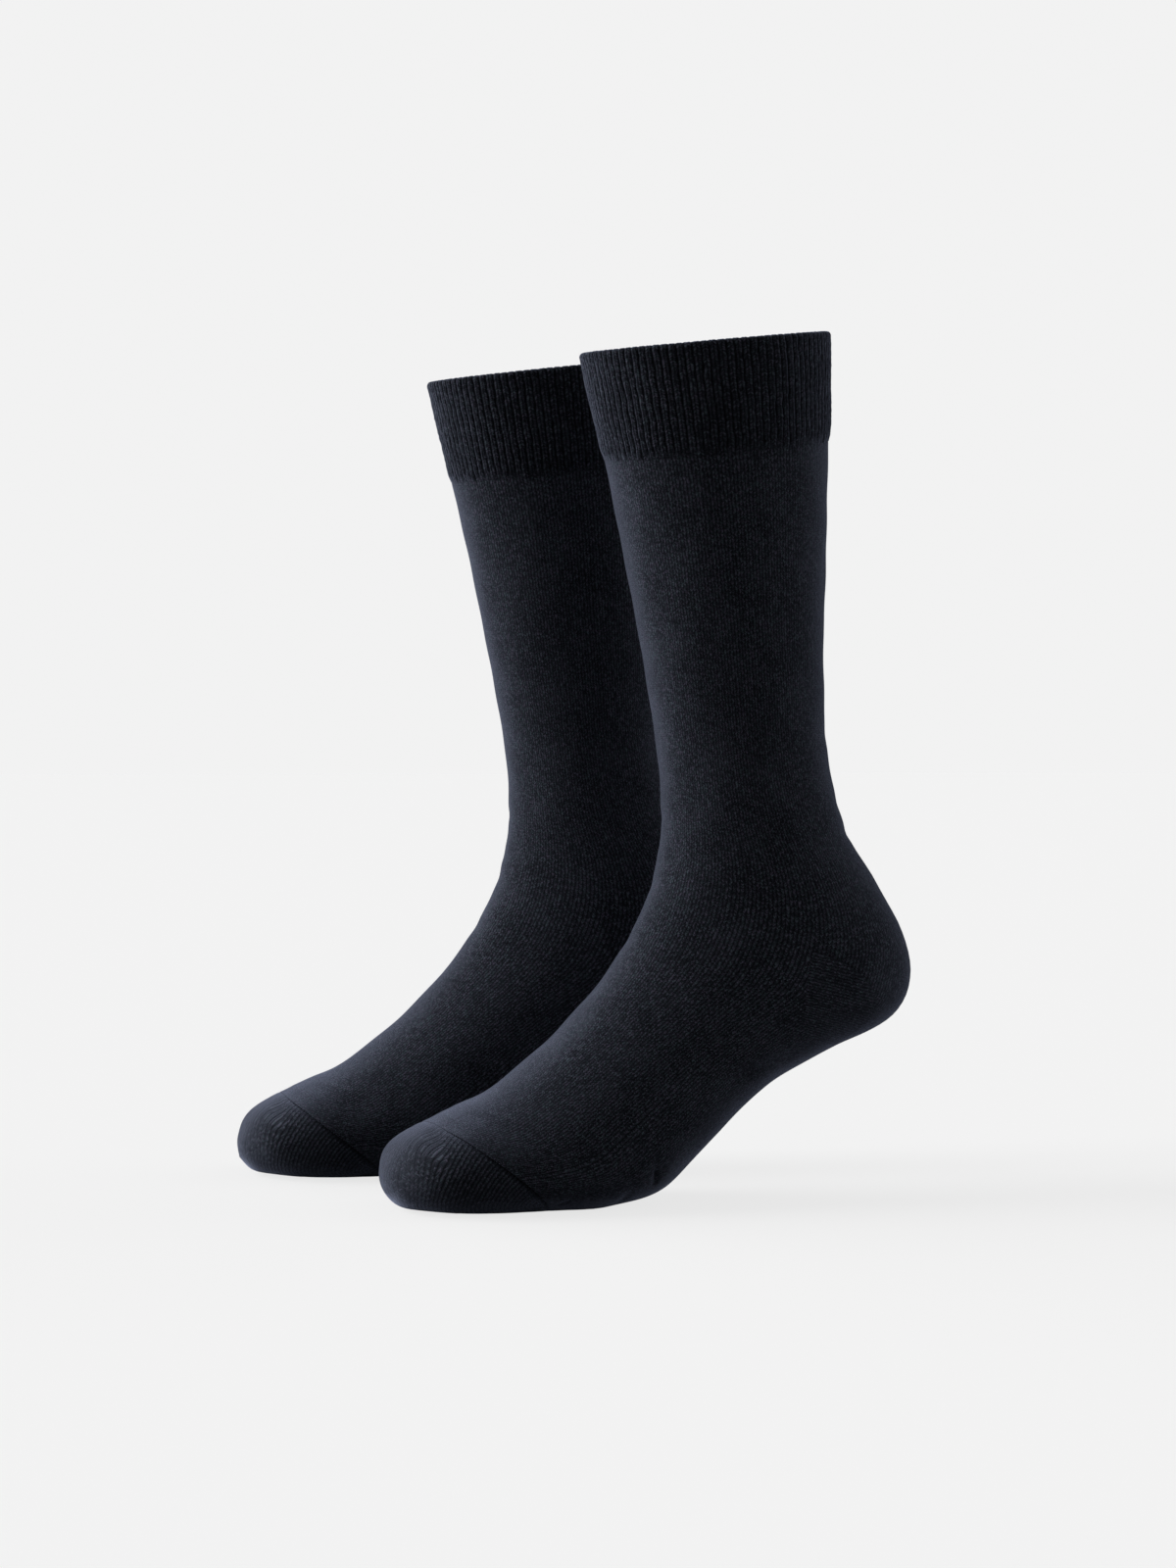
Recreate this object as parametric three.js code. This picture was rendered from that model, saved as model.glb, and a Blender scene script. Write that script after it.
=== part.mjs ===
// A pair of mid-calf socks, hollow and filled out as if worn on tiptoe, toes on the ground.
// Millimetres, +Z up. The toes point to -X, the nearer sock lies at -Y.
// The origin is midway between the two cuffs, where the wearer's legs hold the pair up.
import * as THREE from 'three';

// Height of the origin above the ground that the toes meet.
const HOLD_HEIGHT = 360;

// Cloth walls, and the clearance where two knitted pieces are linked.
const CUFF_WALL = 2.2;
const BODY_WALL = 1.5;
const POCKET_WALL = 1.8;
const SEAM_GAP = 0.3;

// One by one ribs of the cuff, raised on its outer side only.
const RIB_COUNT = 96;
const RIB_HEIGHT = 0.55;
const CUFF_PROUD = 0.2;
const RIM_ROLL = 1.1;

// Rings of the cuff's outer and inner side below its rim, as places counted in sections.
const RIBBED_ROWS = [0.05, 0.7, 1.35, 2];
const PLAIN_ROWS = [0.06, 1, 2];

// Cross-sections from the rim to the toe tip, all on one sock standing with its sole at z = 0.
// front and back are the [x, z] of the section on the instep side and on the heel or sole side,
// half is its half width, side moves its middle along y, roll lifts its far side by that slope,
// frontFull and backFull are 2 for an ellipse and more for a squarer half.
// A row leaves out what is as in a plain section.
const PLAIN_SECTION = { side: 0, roll: 0, frontFull: 2, backFull: 2 };
const SECTIONS = [
  { name: 'rim', front: [-48.5, 358], back: [60, 371], half: 44, side: -8, roll: 0.062 },
  { name: 'cuff middle', front: [-43, 335], back: [60.5, 347], half: 43, side: -7, roll: 0.085 },
  { name: 'cuff end', front: [-37.5, 314], back: [60.5, 326], half: 41, side: -6, roll: 0.1 },
  { name: 'upper leg', front: [-30, 284], back: [61, 293], half: 38, side: -4, roll: 0.07 },
  { name: 'middle leg', front: [-24, 255], back: [61, 262], half: 35, side: -3, roll: 0.04 },
  { name: 'lower leg', front: [-17.5, 225], back: [61.5, 230], half: 32.5, side: -1, roll: 0.02 },
  { name: 'ankle', front: [-12.5, 198], back: [62.5, 201], half: 31 },
  { name: 'ankle bend', front: [-10.5, 180], back: [66, 179], half: 31 },
  { name: 'above heel', front: [-10, 165], back: [74, 154], half: 32 },
  { name: 'heel top', front: [-10.5, 152], back: [87, 134], half: 33 },
  { name: 'heel back', front: [-13.5, 138], back: [99.5, 113], half: 34 },
  { name: 'heel cap', front: [-19, 123], back: [104, 94], half: 34.5 },
  { name: 'heel under', front: [-28, 107], back: [95.5, 75.5], half: 35 },
  { name: 'heel front', front: [-40.5, 90], back: [68, 63], half: 35.5 },
  { name: 'arch', front: [-61, 69], back: [35.5, 48], half: 36.5, backFull: 2.2 },
  { name: 'front arch', front: [-82, 52.5], back: [9.5, 27], half: 38.5, backFull: 2.4 },
  { name: 'ball', front: [-100.5, 41.5], back: [-15, 6], half: 40.5, backFull: 2.6 },
  { name: 'toe roots', front: [-110, 38], back: [-41, -1], half: 41.5, frontFull: 2.1, backFull: 2.6 },
  { name: 'toe seam', front: [-118, 35], back: [-68, -2], half: 40.5, frontFull: 2.2, backFull: 2.6 },
  { name: 'toes', front: [-127, 29.5], back: [-88, -2], half: 38, frontFull: 2.2, backFull: 2.5 },
  { name: 'toe ends', front: [-132, 24], back: [-106, -1.5], half: 32, frontFull: 2.2, backFull: 2.3 },
  { name: 'toe point', front: [-134.5, 17.5], back: [-121, 0], half: 22, frontFull: 2.1, backFull: 2.1 },
  { name: 'toe cap', front: [-135, 13], back: [-129, 2.2], half: 13 },
  { name: 'toe tip', front: [-134.2, 7.6], back: [-134.2, 7.6], half: 0 },
].map((section) => ({ ...PLAIN_SECTION, ...section }));

// Places along the sock, counted in sections.
const rowOf = (name) => SECTIONS.findIndex((section) => section.name === name);
const CUFF_END = rowOf('cuff end');
const HEEL_APEX = rowOf('heel cap') + 0.1;
const HEEL_TOP = rowOf('above heel') + 0.6;
const HEEL_END = rowOf('heel front');
const TOE_SEAM = rowOf('toe seam');
const TOE_SEAM_RISE = 0.35;
const TOE_TIP = rowOf('toe tip');
const TOE_SHARES = [0, 0.16, 0.32, 0.47, 0.62, 0.76, 0.88, 0.96];

// Angles round the sock, in degrees from the front; the heel pocket widens from its apex to full.
const APEX_ANGLE = 92;
const APEX_STEP = 0.6;
const FULL_ANGLE = 132;
const FRONT_STEPS = 20;
const BACK_STEPS = 20;
const PIECE_STEPS = 8;
const SLOPE_STEP = 0.02;
const SEAM_STEP = 2;
const SEAM_SLANT = 0.25;

const CLOTH = { color: 0x15161d, roughness: 0.95, metalness: 0 };
const POCKET_CLOTH = { color: 0x12131a, roughness: 0.95, metalness: 0 };

// Where each sock stands: its shift over the ground and its turn about z, in degrees.
const SOCKS = [
  { name: 'near', shift: [0, -62], turn: 0 },
  { name: 'far', shift: [-28, 61], turn: -8 },
];

const radians = (degrees) => (degrees * Math.PI) / 180;

// Value of one table column at a place between sections, by a Catmull-Rom curve.
function alongSock(row, pick) {
  const last = SECTIONS.length - 1;
  const index = Math.min(Math.floor(row), last - 1);
  const t = row - index;
  const [before, from, to, after] = [-1, 0, 1, 2].map((step) =>
    pick(SECTIONS[Math.min(Math.max(index + step, 0), last)]));
  const bend = 2 * before - 5 * from + 4 * to - after;
  const twist = 3 * (from - to) + after - before;
  return 0.5 * (2 * from + t * (to - before + t * (bend + t * twist)));
}

// Point of the sock's outer surface at a place along it and an angle round it.
function surface(row, degrees) {
  const angle = radians(degrees);
  const column = (pick) => alongSock(row, pick);
  const front = [column((s) => s.front[0]), column((s) => s.front[1])];
  const back = [column((s) => s.back[0]), column((s) => s.back[1])];
  const fullness = Math.cos(angle) > 0 ? column((s) => s.frontFull) : column((s) => s.backFull);
  const rounded = (value) => Math.sign(value) * Math.abs(value) ** (2 / fullness);
  const toFront = 0.5 + 0.5 * rounded(Math.cos(angle));
  const across = column((s) => s.half) * rounded(Math.sin(angle));
  return new THREE.Vector3(
    back[0] + (front[0] - back[0]) * toFront,
    across + column((s) => s.side),
    back[1] + (front[1] - back[1]) * toFront + across * column((s) => s.roll),
  );
}

// Outward direction of the cloth there, from two short steps along and round it.
function outward(row, degrees) {
  const low = Math.max(row - SLOPE_STEP, 0);
  const high = Math.min(row + SLOPE_STEP, TOE_TIP - SLOPE_STEP);
  const along = surface(high, degrees).sub(surface(Math.min(low, high - SLOPE_STEP), degrees));
  const round = surface(Math.min(row, high), degrees + 1).sub(surface(Math.min(row, high), degrees - 1));
  return round.cross(along).normalize();
}

// Point of the cloth raised by some height from the outer surface, flat where the sole meets the ground.
function clothPoint(row, degrees, raise) {
  const point = surface(row, degrees).addScaledVector(outward(row, degrees), raise);
  point.z = Math.max(point.z, Math.max(-raise, 0));
  return point;
}

// Share of the heel pocket's full height at an angle, rounding up from 0 at its apex to 1 at the back.
function heelShare(degrees) {
  const fromFront = Math.min(degrees, 360 - degrees);
  const toFull = THREE.MathUtils.clamp((FULL_ANGLE - fromFront) / (FULL_ANGLE - APEX_ANGLE), 0, 1);
  return Math.sqrt(1 - toFull ** 2);
}
const cuffSeam = () => CUFF_END;
const heelUpperEdge = (degrees) => THREE.MathUtils.lerp(HEEL_APEX, HEEL_TOP, heelShare(degrees));
const heelLowerEdge = (degrees) => THREE.MathUtils.lerp(HEEL_APEX, HEEL_END, heelShare(degrees));

// Place of the linked toe seam, which runs a little further up on the top of the foot.
const toeSeam = (degrees) => TOE_SEAM - TOE_SEAM_RISE * (0.5 + 0.5 * Math.cos(radians(degrees)));

// Place along the sock that is half the seam gap beside a seam, side 1 after it and -1 before it.
function besideSeam(seam, degrees, side) {
  const row = seam(degrees);
  const along = surface(row + SLOPE_STEP, degrees).sub(surface(row - SLOPE_STEP, degrees));
  const before = degrees - SEAM_STEP;
  const after = degrees + SEAM_STEP;
  const across = surface(seam(after), after).sub(surface(seam(before), before));
  const slant = Math.max(Math.sin(along.angleTo(across)), SEAM_SLANT);
  return row + (side * SEAM_GAP * SLOPE_STEP) / (along.length() * slant);
}

// Angles of the columns: the front part, two short steps at the apexes, and the back part.
const spread = (from, to, steps) =>
  Array.from({ length: steps + 1 }, (_, i) => from + ((to - from) * i) / steps);
const BACK_COLUMNS = spread(APEX_ANGLE + APEX_STEP, 360 - APEX_ANGLE - APEX_STEP, BACK_STEPS);
const FRONT_COLUMNS = spread(360 - APEX_ANGLE, 360 + APEX_ANGLE, FRONT_STEPS);
const ROUND_COLUMNS = [...BACK_COLUMNS, ...FRONT_COLUMNS]
  .map((degrees) => degrees % 360)
  .sort((a, b) => a - b);
const RIB_COLUMNS = spread(0, 360, 2 * RIB_COUNT).slice(0, -1);

// Grows one closed mesh out of rows of points.
class ClothMesh {
  constructor() {
    this.positions = [];
    this.indices = [];
  }

  addRow(points) {
    const start = this.positions.length / 3;
    points.forEach((point) => this.positions.push(point.x, point.y, point.z));
    return points.map((_, i) => start + i);
  }

  triangle(a, b, c) {
    this.indices.push(a, b, c);
  }

  // Fills between two rows of equal length; closed rows go all the way round.
  band(upper, lower, closed) {
    this.strip(upper, lower, closed, (a, b, c, d) => [[a, b, c], [b, d, c]]);
  }

  // The same with its squares parted along the other diagonal.
  crossBand(upper, lower, closed) {
    this.strip(upper, lower, closed, (a, b, c, d) => [[a, b, d], [a, d, c]]);
  }

  strip(upper, lower, closed, part) {
    const steps = closed ? upper.length : upper.length - 1;
    for (let i = 0; i < steps; i += 1) {
      const next = (i + 1) % upper.length;
      part(upper[i], upper[next], lower[i], lower[next]).forEach((corners) => this.triangle(...corners));
    }
  }

  // Fills between two closed rows of different length that start at the same angle.
  rim(upper, lower) {
    let i = 0;
    let j = 0;
    while (i < upper.length || j < lower.length) {
      const a = upper[i % upper.length];
      const b = lower[j % lower.length];
      if (j >= lower.length || (i < upper.length && (i + 1) * lower.length <= (j + 1) * upper.length)) {
        this.triangle(a, upper[(i + 1) % upper.length], b);
        i += 1;
      } else {
        this.triangle(a, lower[(j + 1) % lower.length], b);
        j += 1;
      }
    }
  }

  cap(row, tip, flip) {
    row.forEach((vertex, i) => {
      const next = row[(i + 1) % row.length];
      this.triangle(...(flip ? [next, vertex, tip] : [vertex, next, tip]));
    });
  }

  geometry() {
    const geometry = new THREE.BufferGeometry();
    geometry.setAttribute('position', new THREE.Float32BufferAttribute(this.positions, 3));
    geometry.setIndex(this.indices);
    geometry.computeVertexNormals();
    return geometry;
  }
}

// The cuff: ribbed outside, plain inside, with a rolled top edge.
function cuffGeometry() {
  const mesh = new ClothMesh();
  const upTo = (row, degrees) => Math.min(row, besideSeam(cuffSeam, degrees, -1));
  const ribbed = (row, sink) => mesh.addRow(RIB_COLUMNS.map((degrees, i) =>
    clothPoint(upTo(row, degrees), degrees, CUFF_PROUD + (i % 2 ? 0 : RIB_HEIGHT) - sink)));
  const plain = (row, wall) => mesh.addRow(ROUND_COLUMNS.map((degrees) =>
    clothPoint(upTo(row, degrees), degrees, -wall)));
  const outer = [ribbed(0, RIM_ROLL), ...RIBBED_ROWS.map((row) => ribbed(row, 0))];
  const inner = [plain(0, CUFF_WALL - RIM_ROLL), ...PLAIN_ROWS.map((row) => plain(row, CUFF_WALL))];
  outer.slice(1).forEach((row, i) => mesh.band(outer[i], row, true));
  inner.slice(1).forEach((row, i) => mesh.band(row, inner[i], true));
  mesh.rim(inner[0], outer[0]);
  mesh.rim(outer.at(-1), inner.at(-1));
  return mesh.geometry();
}

// A piece of body cloth between two edges, each a place along the sock for every angle.
function pieceGeometry({ columns, from, to, wall, closed }) {
  const mesh = new ClothMesh();
  const rowsAt = (raise) => spread(0, 1, PIECE_STEPS).map((share) => mesh.addRow(columns.map((degrees) => {
    const start = besideSeam(from, degrees, 1);
    const end = besideSeam(to, degrees, -1);
    return clothPoint(start + (end - start) * share, degrees, raise);
  })));
  const outer = rowsAt(0);
  const inner = rowsAt(-wall);
  outer.slice(1).forEach((row, i) => mesh.band(outer[i], row, closed));
  inner.slice(1).forEach((row, i) => mesh.band(row, inner[i], closed));
  mesh.band(inner[0], outer[0], closed);
  mesh.crossBand(outer.at(-1), inner.at(-1), closed);
  if (!closed) {
    const edge = (rows, i) => rows.map((row) => row.at(i));
    mesh.band(edge(outer, 0), edge(inner, 0), false);
    mesh.band(edge(inner, -1), edge(outer, -1), false);
  }
  return mesh.geometry();
}

// The toe pocket: the same wall, closed over the toe tip.
function toeGeometry() {
  const mesh = new ClothMesh();
  const rowsAt = (raise) => TOE_SHARES.map((share) => mesh.addRow(ROUND_COLUMNS.map((degrees) => {
    const start = besideSeam(toeSeam, degrees, 1);
    return clothPoint(start + (TOE_TIP - start) * share, degrees, raise);
  })));
  const outer = rowsAt(0);
  const inner = rowsAt(-POCKET_WALL);
  outer.slice(1).forEach((row, i) => mesh.band(outer[i], row, true));
  inner.slice(1).forEach((row, i) => mesh.band(row, inner[i], true));
  mesh.band(inner[0], outer[0], true);
  const tip = surface(TOE_TIP, 0);
  const [outerTip] = mesh.addRow([tip]);
  const [innerTip] = mesh.addRow([tip.clone().add(new THREE.Vector3(POCKET_WALL, 0, 0))]);
  mesh.cap(outer.at(-1), outerTip, false);
  mesh.cap(inner.at(-1), innerTip, true);
  return mesh.geometry();
}

// The knitted pieces of one sock, from the rim down.
const TUBE = { columns: ROUND_COLUMNS, wall: BODY_WALL, closed: true };
const POCKET = { columns: BACK_COLUMNS, wall: POCKET_WALL, closed: false };
const LEG = { ...TUBE, from: cuffSeam, to: heelUpperEdge };
const HEEL = { ...POCKET, from: heelUpperEdge, to: heelLowerEdge };
const FOOT = { ...TUBE, from: heelLowerEdge, to: toeSeam };
const PIECES = [
  { name: 'cuff', make: cuffGeometry, finish: CLOTH },
  { name: 'leg', make: () => pieceGeometry(LEG), finish: CLOTH },
  { name: 'heel_pocket', make: () => pieceGeometry(HEEL), finish: POCKET_CLOTH },
  { name: 'foot', make: () => pieceGeometry(FOOT), finish: CLOTH },
  { name: 'toe_pocket', make: toeGeometry, finish: POCKET_CLOTH },
];

const pair = new THREE.Group();
SOCKS.forEach((place) => {
  const sock = new THREE.Group();
  PIECES.forEach((piece) => {
    const mesh = new THREE.Mesh(piece.make(), new THREE.MeshStandardMaterial(piece.finish));
    mesh.name = `${place.name}_${piece.name}`;
    sock.add(mesh);
  });
  sock.position.set(place.shift[0], place.shift[1], -HOLD_HEIGHT);
  sock.rotation.z = radians(place.turn);
  pair.add(sock);
});

export default pair;
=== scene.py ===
"""A pair of mid-calf socks: ribbed cuffs, knitted legs and feet, heel and toe pockets, seams and creases.

Sizes are millimetres on one sock that stands with its sole at z = 0. Angles round the sock are degrees
from its front, the instep side. Blender's meshes are in metres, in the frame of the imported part.
"""

import logging
import math
from dataclasses import dataclass
from enum import Enum

import bmesh
import bpy
import numpy as np
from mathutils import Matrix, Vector


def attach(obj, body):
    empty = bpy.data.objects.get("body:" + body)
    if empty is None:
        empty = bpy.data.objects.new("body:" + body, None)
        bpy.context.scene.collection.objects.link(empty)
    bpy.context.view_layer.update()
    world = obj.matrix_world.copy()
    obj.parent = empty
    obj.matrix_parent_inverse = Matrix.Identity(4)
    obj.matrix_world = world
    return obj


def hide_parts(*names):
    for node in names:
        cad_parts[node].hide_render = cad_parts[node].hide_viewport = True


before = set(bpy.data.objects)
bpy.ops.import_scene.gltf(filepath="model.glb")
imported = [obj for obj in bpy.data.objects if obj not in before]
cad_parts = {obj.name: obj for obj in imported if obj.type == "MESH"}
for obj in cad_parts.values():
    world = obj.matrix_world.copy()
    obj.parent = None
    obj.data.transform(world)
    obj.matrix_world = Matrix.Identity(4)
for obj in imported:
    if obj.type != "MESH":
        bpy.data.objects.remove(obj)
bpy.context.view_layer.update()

LOG = logging.getLogger("socks")
MM = 0.001
SEED = 7

# Height of the origin above the ground that the toes meet.
HOLD_HEIGHT = 360.0

# Knit counts: wales all round, ribs all round, and the spacing of courses along the sock.
WALES = 192
RIBS = 96
COURSE = 0.95

# The knit counts, the cloth's painted shade, and how far the lines of the knit are lost.
KNIT_MAP = "knit"
SHADE_MAP = "seam_shade"
PLAIN_MAP = "plainness"

# Angles in degrees past which an edge of the cloth, or of the ribbed cuff, is sharp.
CLOTH_EDGE = 55.0
RIB_EDGE = 70.0

# Points of a sheet that lie nearer than this to each other are one point.
WELD_GAP = 0.004


@dataclass(frozen=True)
class Section:
    """One cross-section of the sock; front and back are its x and z at the instep and the heel side."""

    name: str
    front: tuple[float, float]
    back: tuple[float, float]
    half: float
    side: float = 0.0
    roll: float = 0.0
    front_full: float = 2.0
    back_full: float = 2.0


SECTIONS = (
    Section("rim", (-48.5, 358), (60, 371), 44, side=-8, roll=0.062),
    Section("cuff middle", (-43, 335), (60.5, 347), 43, side=-7, roll=0.085),
    Section("cuff end", (-37.5, 314), (60.5, 326), 41, side=-6, roll=0.1),
    Section("upper leg", (-30, 284), (61, 293), 38, side=-4, roll=0.07),
    Section("middle leg", (-24, 255), (61, 262), 35, side=-3, roll=0.04),
    Section("lower leg", (-17.5, 225), (61.5, 230), 32.5, side=-1, roll=0.02),
    Section("ankle", (-12.5, 198), (62.5, 201), 31),
    Section("ankle bend", (-10.5, 180), (66, 179), 31),
    Section("above heel", (-10, 165), (74, 154), 32),
    Section("heel top", (-10.5, 152), (87, 134), 33),
    Section("heel back", (-13.5, 138), (99.5, 113), 34),
    Section("heel cap", (-19, 123), (104, 94), 34.5),
    Section("heel under", (-28, 107), (95.5, 75.5), 35),
    Section("heel front", (-40.5, 90), (68, 63), 35.5),
    Section("arch", (-61, 69), (35.5, 48), 36.5, back_full=2.2),
    Section("front arch", (-82, 52.5), (9.5, 27), 38.5, back_full=2.4),
    Section("ball", (-100.5, 41.5), (-15, 6), 40.5, back_full=2.6),
    Section("toe roots", (-110, 38), (-41, -1), 41.5, front_full=2.1, back_full=2.6),
    Section("toe seam", (-118, 35), (-68, -2), 40.5, front_full=2.2, back_full=2.6),
    Section("toes", (-127, 29.5), (-88, -2), 38, front_full=2.2, back_full=2.5),
    Section("toe ends", (-132, 24), (-106, -1.5), 32, front_full=2.2, back_full=2.3),
    Section("toe point", (-134.5, 17.5), (-121, 0), 22, front_full=2.1, back_full=2.1),
    Section("toe cap", (-135, 13), (-129, 2.2), 13),
    Section("toe tip", (-134.2, 7.6), (-134.2, 7.6), 0),
)


def row_of(name: str) -> int:
    """Gives a section's place along the sock, counted from the rim."""
    return [section.name for section in SECTIONS].index(name)


CUFF_END = float(row_of("cuff end"))
HEEL_APEX = row_of("heel cap") + 0.1
HEEL_TOP = row_of("above heel") + 0.6
HEEL_END = float(row_of("heel front"))
TOE_SEAM = float(row_of("toe seam"))
TOE_SEAM_RISE = 0.35
TOE_TIP = float(row_of("toe tip"))
APEX_ANGLE = 92.0
FULL_ANGLE = 132.0
GORE_TURN = 58.0
GORE_SINK = 1.7
GORE_BEND = 2.2


class SockForm:
    """The outer surface of one sock, as a function of the place along it and the angle round it."""

    SLOPE_STEP = 0.02
    TURN_STEP = 1.0
    LENGTH_STEPS = 441
    SIDE_ANGLE = 90.0

    def __init__(self, sections: tuple[Section, ...]) -> None:
        """Keeps the sections as one table.

        Args:
            sections: The cross-sections from the rim to the toe tip.
        """
        self.table = np.array(
            [(*s.front, *s.back, s.half, s.side, s.roll, s.front_full, s.back_full) for s in sections]
        )

    def columns(self, rows: np.ndarray) -> np.ndarray:
        """Gives the table's values at places between sections, by a Catmull-Rom curve.

        Args:
            rows: Places along the sock.

        Returns:
            One line of the table for each place.
        """
        last = len(self.table) - 1
        index = np.clip(np.floor(rows).astype(int), 0, last - 1)
        t = (rows - index)[..., None]
        before, start, end, after = (self.table[np.clip(index + i, 0, last)] for i in (-1, 0, 1, 2))
        bend = 2 * before - 5 * start + 4 * end - after
        twist = 3 * (start - end) + after - before
        return 0.5 * (2 * start + t * (end - before + t * (bend + t * twist)))

    def surface(self, rows: np.ndarray, degrees: np.ndarray) -> np.ndarray:
        """Gives points of the outer surface.

        Args:
            rows: Places along the sock.
            degrees: Angles round it.

        Returns:
            Points in millimetres, with x, y and z last.
        """
        rows, degrees = np.broadcast_arrays(np.asarray(rows, float), np.asarray(degrees, float))
        front_x, front_z, back_x, back_z, half, side, roll, front_full, back_full = np.moveaxis(
            self.columns(rows), -1, 0
        )
        turn = np.radians(degrees)
        power = 2 / np.where(np.cos(turn) > 0, front_full, back_full)
        to_front = 0.5 + 0.5 * np.sign(np.cos(turn)) * np.abs(np.cos(turn)) ** power
        across = half * np.sign(np.sin(turn)) * np.abs(np.sin(turn)) ** power
        x = back_x + (front_x - back_x) * to_front
        z = back_z + (front_z - back_z) * to_front + across * roll
        return np.stack([x, across + side, z], axis=-1)

    def outward(self, rows: np.ndarray, degrees: np.ndarray) -> np.ndarray:
        """Gives the outward direction of the cloth.

        Args:
            rows: Places along the sock.
            degrees: Angles round it.

        Returns:
            Unit vectors, one for each place.
        """
        rows, degrees = np.broadcast_arrays(np.asarray(rows, float), np.asarray(degrees, float))
        low = np.maximum(rows - self.SLOPE_STEP, 0)
        high = np.minimum(rows + self.SLOPE_STEP, TOE_TIP - self.SLOPE_STEP)
        level = np.minimum(rows, high)
        low = np.minimum(low, high - self.SLOPE_STEP)
        along = self.surface(high, degrees) - self.surface(low, degrees)
        turn = self.surface(level, degrees + self.TURN_STEP) - self.surface(level, degrees - self.TURN_STEP)
        out = np.cross(turn, along)
        return out / np.linalg.norm(out, axis=-1, keepdims=True)

    def side_length(self, rows: np.ndarray) -> np.ndarray:
        """Gives the length of cloth from the rim down the sock's side.

        Args:
            rows: Places along the sock.

        Returns:
            Lengths in millimetres.
        """
        steps = np.linspace(0, TOE_TIP, self.LENGTH_STEPS)
        path = self.surface(steps, np.full_like(steps, self.SIDE_ANGLE))
        lengths = np.concatenate([[0], np.cumsum(np.linalg.norm(np.diff(path, axis=0), axis=1))])
        return np.interp(rows, steps, lengths)


FORM = SockForm(SECTIONS)


def from_front(degrees: np.ndarray) -> np.ndarray:
    """Gives the angle from the front, from 0 to 180, the same on both sides of the sock."""
    turned = np.mod(degrees, 360)
    return np.minimum(turned, 360 - turned)


def heel_share(degrees: np.ndarray) -> np.ndarray:
    """Gives the heel pocket's height as a share of its full height, rounding up from its apexes."""
    to_full = np.clip((FULL_ANGLE - from_front(degrees)) / (FULL_ANGLE - APEX_ANGLE), 0, 1)
    return np.sqrt(1 - to_full**2)


def heel_upper_edge(degrees: np.ndarray) -> np.ndarray:
    """Gives the place of the heel pocket's edge on the leg."""
    return HEEL_APEX + (HEEL_TOP - HEEL_APEX) * heel_share(degrees)


def heel_lower_edge(degrees: np.ndarray) -> np.ndarray:
    """Gives the place of the heel pocket's edge under the foot."""
    return HEEL_APEX + (HEEL_END - HEEL_APEX) * heel_share(degrees)


def gore_line(degrees: np.ndarray) -> np.ndarray:
    """Gives the place of the heel's gore line, which sinks from the apex to the back of the heel."""
    share = np.clip((from_front(degrees) - APEX_ANGLE) / GORE_TURN, 0, 1)
    return HEEL_APEX + GORE_SINK * share**GORE_BEND


def toe_seam(degrees: np.ndarray) -> np.ndarray:
    """Gives the place of the linked toe seam, a little further up on the top of the foot."""
    return TOE_SEAM - TOE_SEAM_RISE * (0.5 + 0.5 * np.cos(np.radians(degrees)))


@dataclass(frozen=True)
class Crease:
    """A soft trough in the cloth from one place to another, or a ridge where its depth is below 0.

    Places are a row and an angle; width and depth are millimetres. Shade is the painted shade inside a sharp
    fold.
    """

    # Points on its path, the share of its ends that keeps some depth, how fast it deepens, and its shoulders.
    PATH_POINTS = 11
    END_SHARE = 0.04
    END_ROUNDING = 0.7
    SHOULDER = 0.7

    start: tuple[float, float]
    end: tuple[float, float]
    width: float
    depth: float
    shade: float = 0.0

    def push(self, points: np.ndarray) -> np.ndarray:
        """Gives how far the crease presses in at each point.

        Args:
            points: Points of the cloth in millimetres.

        Returns:
            Depths, above 0 in the trough and a little below 0 on its shoulders.
        """
        shares = np.linspace(0, 1, self.PATH_POINTS)
        rows = self.start[0] + (self.end[0] - self.start[0]) * shares
        degrees = self.start[1] + (self.end[1] - self.start[1]) * shares
        path = FORM.surface(rows, degrees)
        nearest = np.full(len(points), np.inf)
        along = np.zeros(len(points))
        for i, (a, b) in enumerate(zip(path[:-1], path[1:])):
            step = b - a
            t = np.clip((points - a) @ step / (step @ step), 0, 1)
            away = np.linalg.norm(points - a - t[:, None] * step, axis=1)
            closer = away < nearest
            nearest = np.where(closer, away, nearest)
            along = np.where(closer, (i + t) / (len(path) - 1), along)
        across = (nearest / self.width) ** 2
        ends = np.sin(np.pi * np.clip(along, self.END_SHARE, 1 - self.END_SHARE)) ** self.END_ROUNDING
        return self.depth * ends * (1 - self.SHOULDER * across) * np.exp(-across)


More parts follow.
